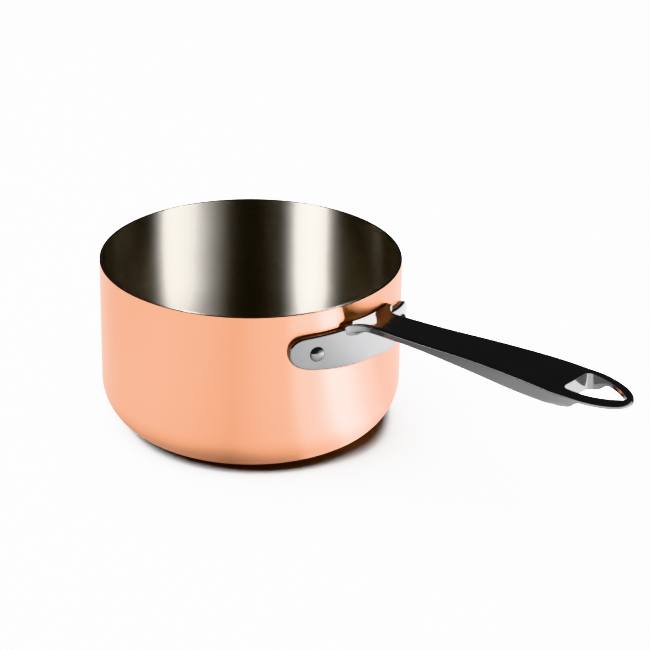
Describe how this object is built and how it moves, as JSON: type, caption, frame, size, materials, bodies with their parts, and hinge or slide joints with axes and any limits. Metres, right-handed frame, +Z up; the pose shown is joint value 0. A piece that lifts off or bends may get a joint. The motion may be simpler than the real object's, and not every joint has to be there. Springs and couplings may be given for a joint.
{
  "type": "saucepan",
  "caption": "Small straight-sided saucepan: copper outside, steel inside, with one long riveted cast handle that ends in a hanging loop.",
  "frame": {"origin": "centre of the flat underside of the base, which rests on the hob", "axes": "+Z up along the pan's axis towards the open rim, +X out along the handle, +Y to the handle's left seen from above"},
  "size_m": [0.322, 0.16, 0.093],
  "materials": {
    "copper": "polished copper",
    "core": "bare cut edge",
    "lining": "satin, polished round the axis",
    "handle_steel": "mirror-polished stainless steel",
    "rivet_steel": "polished stainless steel"
  },
  "bodies": {
    "root": {"copper_skin": "copper", "aluminium_core": "core", "steel_lining": "lining", "handle": "handle_steel", "rivet_left": "rivet_steel", "rivet_right": "rivet_steel"}
  },
  "joints": []
}
